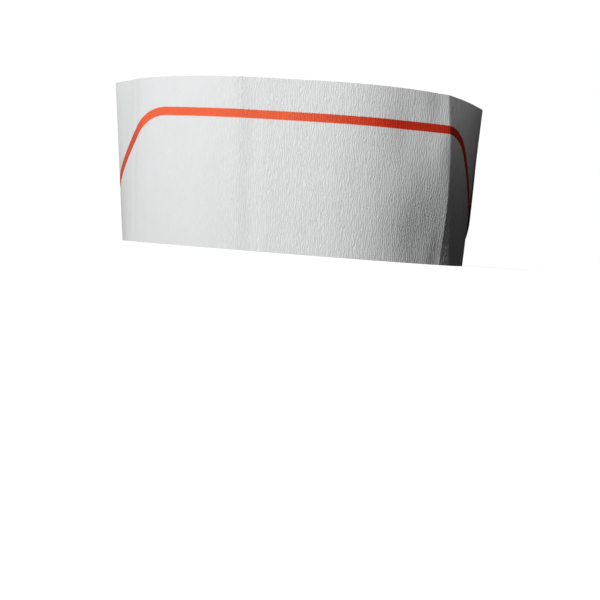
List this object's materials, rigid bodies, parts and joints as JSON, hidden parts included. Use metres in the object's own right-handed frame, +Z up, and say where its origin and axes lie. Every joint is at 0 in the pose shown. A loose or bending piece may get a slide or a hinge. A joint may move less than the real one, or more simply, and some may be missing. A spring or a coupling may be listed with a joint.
{
  "type": "paper soda jerk hat",
  "caption": "Worn cap of creped paper: an upright lapped band with a front fold and creased back corners, a folded crown and a plain printed stripe.",
  "frame": {"origin": "middle of the bounding box, on the plane of the rim", "axes": "+Z up from the rim to the top edge, -Y to the wearer's face, +X to the wearer's left"},
  "size_m": [0.157, 0.2198, 0.096],
  "materials": {
    "creped_paper": "matte, finely creped",
    "crown_paper": "matte, finely creped",
    "stripe_ink": "matte printed ink"
  },
  "bodies": {
    "root": {"band": "creped_paper", "crown": "crown_paper", "stripe_left": "stripe_ink", "stripe_right": "stripe_ink"}
  },
  "joints": []
}
